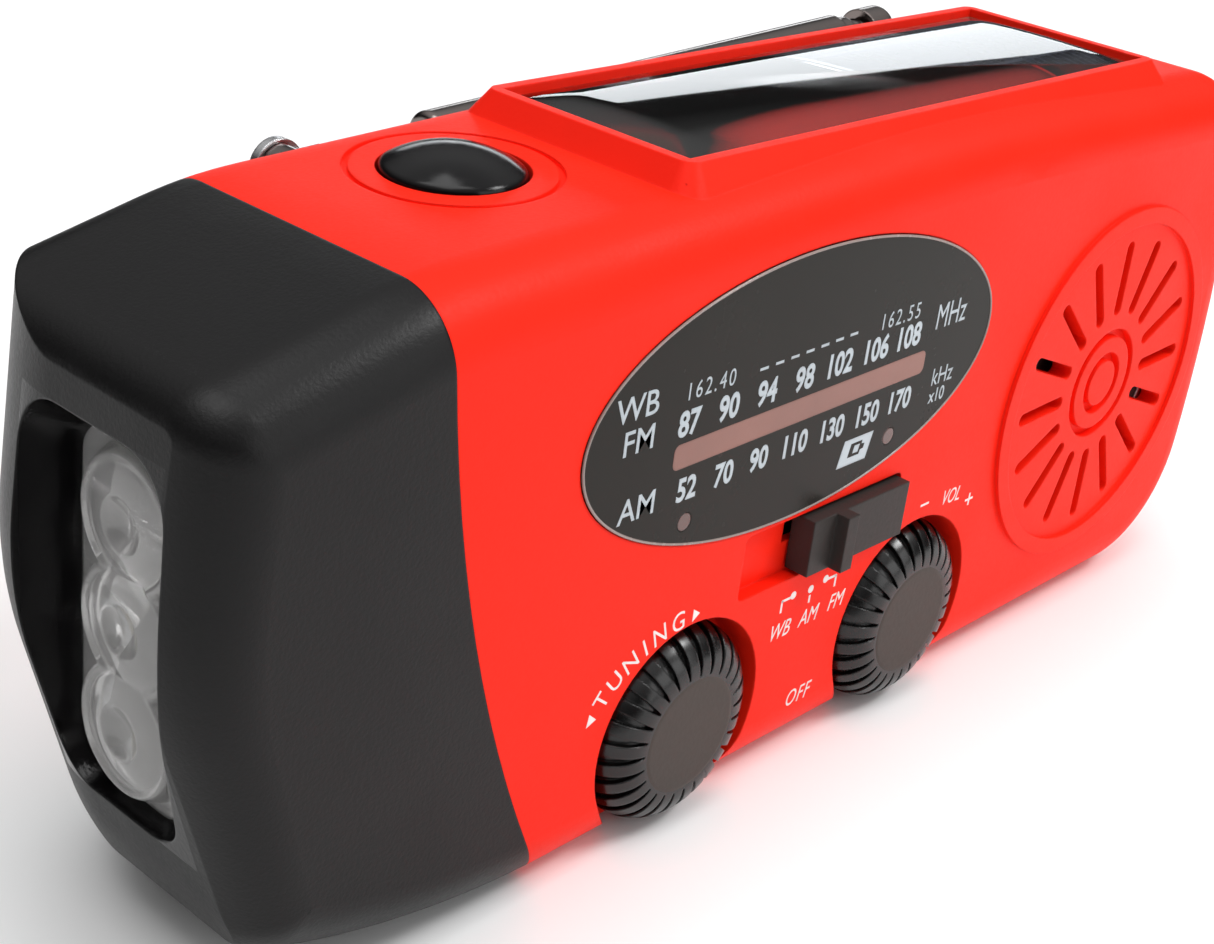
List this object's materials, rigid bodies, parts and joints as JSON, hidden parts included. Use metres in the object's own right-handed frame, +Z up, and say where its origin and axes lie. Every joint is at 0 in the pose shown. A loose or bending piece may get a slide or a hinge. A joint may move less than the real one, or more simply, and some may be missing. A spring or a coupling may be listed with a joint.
{
  "type": "emergency radio",
  "caption": "Pocket emergency radio with folding crank, solar panel, torch head, tuning dial, ribbed knobs and telescopic antenna.",
  "frame": {"origin": "on the surface it stands on, under the middle of the case, on its flat underside", "axes": "+X along the radio from the torch head towards the loudspeaker end, +Y from the dial face to the crank face, +Z up"},
  "size_m": [0.1255, 0.036, 0.0522],
  "materials": {
    "red_abs": "fine satin moulded ABS",
    "black_abs": "fine satin moulded ABS",
    "clear_plastic": "clear moulded acrylic",
    "chrome_plastic": "vacuum-plated reflector",
    "led": "clear epoxy with yellow phosphor",
    "green_board": "solder-masked fibreglass board",
    "black_rubber": "soft moulded rubber",
    "cells": "silicon cells with fine grid lines",
    "epoxy": "clear domed epoxy",
    "dial": "smoked window with printed scale",
    "red_lens": "red indicator lens",
    "pointer": "moulded pointer and rack",
    "knob": "ribbed moulded knob",
    "steel": "plated steel",
    "chrome": "bright plated tube",
    "nylon": "natural nylon gear",
    "brass": "turned brass",
    "component": "moulded electronic parts",
    "speaker_paper": "film and paper cone",
    "ferrite": "sintered ferrite",
    "copper": "enamelled copper winding",
    "battery_wrap": "shrink-wrapped cell"
  },
  "bodies": {
    "root": {"front_shell": "red_abs", "rear_shell": "red_abs", "head_shroud": "black_abs", "lamp_lens": "clear_plastic", "lamp_reflector": "chrome_plastic", "lamp_leds": "led", "lamp_board": "green_board", "button_switch": "component", "button_board": "green_board", "solar_board": "green_board", "solar_cells": "cells", "solar_cover": "epoxy", "dial_window": "dial", "indicator_lights": "red_lens", "tuning_capacitor": "component", "volume_pot": "component", "band_switch": "component", "speaker_frame": "steel", "speaker_cone": "speaker_paper", "speaker_magnet": "steel", "main_board": "green_board", "board_chips": "component", "board_screws": "steel", "ferrite_rod": "ferrite", "ferrite_coil": "copper", "battery": "battery_wrap", "port_board": "green_board", "usb_out_port": "steel", "micro_usb_port": "steel", "crank_bush": "brass", "idler_axle": "steel", "gearbox_plate": "steel", "gearbox_screws": "steel", "dynamo_case": "steel", "antenna_lug": "steel", "antenna_pin": "steel", "case_screws": "steel"},
    "button": {"light_button": "black_rubber"},
    "tuning": {"tuning_knob": "knob", "tuning_shaft": "nylon"},
    "pointer": {"dial_pointer": "pointer"},
    "volume": {"volume_knob": "knob", "volume_shaft": "nylon"},
    "band": {"band_slider": "black_abs"},
    "flap": {"port_cover": "black_rubber"},
    "crank": {"crank_arm": "black_abs", "crank_screw": "steel", "crank_shaft": "steel", "drive_gear": "nylon", "grip_hinge_pin": "steel"},
    "grip": {"grip_post": "steel"},
    "sleeve": {"grip_sleeve": "black_abs"},
    "idler": {"idler_gear": "nylon"},
    "dynamo": {"dynamo_pinion": "brass"},
    "mast_1": {"antenna_tube_1": "chrome"},
    "mast_2": {"antenna_tube_2": "chrome"},
    "mast_3": {"antenna_tube_3": "chrome"},
    "mast_4": {"antenna_tip": "chrome"}
  },
  "joints": [
    {"name": "tuning_turn", "type": "hinge", "parent": "root", "child": "tuning", "pos_m": [-0.0172, -0.015, 0.0086], "axis": [0, 1, 0], "range_deg": [0, 275.8]},
    {"name": "pointer_slide", "type": "slide", "parent": "root", "child": "pointer", "axis": [1, 0, 0], "range_m": [0, 0.026]},
    {"name": "volume_turn", "type": "hinge", "parent": "root", "child": "volume", "pos_m": [0.0118, -0.015, 0.0086], "axis": [0, 1, 0], "range_deg": [0, 280]},
    {"name": "band_slide", "type": "slide", "parent": "root", "child": "band", "axis": [1, 0, 0], "range_m": [-0.0054, 0]},
    {"name": "light_press", "type": "slide", "parent": "root", "child": "button", "axis": [0, 0, -1], "range_m": [0, 0.0009], "stiffness_N_per_m": 900},
    {"name": "flap_swing", "type": "hinge", "parent": "root", "child": "flap", "pos_m": [-0.0142, 0.01405, 0.03], "axis": [0, 0, -1], "range_deg": [0, 100]},
    {"name": "crank_turn", "type": "hinge", "parent": "root", "child": "crank", "pos_m": [0.021, 0.012, 0.0245], "axis": [0, 1, 0], "continuous": true},
    {"name": "idler_spin", "type": "hinge", "parent": "root", "child": "idler", "pos_m": [0.036, 0.005, 0.0245], "axis": [0, 1, 0], "continuous": true},
    {"name": "dynamo_spin", "type": "hinge", "parent": "root", "child": "dynamo", "pos_m": [0.0483, 0.003, 0.0245], "axis": [0, 1, 0], "continuous": true},
    {"name": "grip_fold", "type": "hinge", "parent": "crank", "child": "grip", "pos_m": [0.0038, 0.0145, 0.0245], "axis": [0, 0, 1], "range_deg": [0, 90]},
    {"name": "grip_spin", "type": "hinge", "parent": "grip", "child": "sleeve", "pos_m": [0.011, 0.0145, 0.0245], "axis": [1, 0, 0], "continuous": true},
    {"name": "antenna_fold", "type": "hinge", "parent": "root", "child": "mast_1", "pos_m": [-0.0315, 0.0164, 0.0457], "axis": [0, -1, 0], "range_deg": [0, 120]},
    {"name": "antenna_slide_1", "type": "slide", "parent": "mast_1", "child": "mast_2", "axis": [0.9989, 0, 0.0471], "range_m": [0, 0.05]},
    {"name": "antenna_slide_2", "type": "slide", "parent": "mast_2", "child": "mast_3", "axis": [0.9989, 0, 0.0471], "range_m": [0, 0.05]},
    {"name": "antenna_slide_3", "type": "slide", "parent": "mast_3", "child": "mast_4", "axis": [0.9989, 0, 0.0471], "range_m": [0, 0.05]}
  ],
  "couplings": [
    {"joint": "pointer_slide", "follows": "tuning_turn", "m_per_rad": 0.0054},
    {"joint": "idler_spin", "follows": "crank_turn", "ratio": -4},
    {"joint": "dynamo_spin", "follows": "crank_turn", "ratio": 14.222}
  ]
}
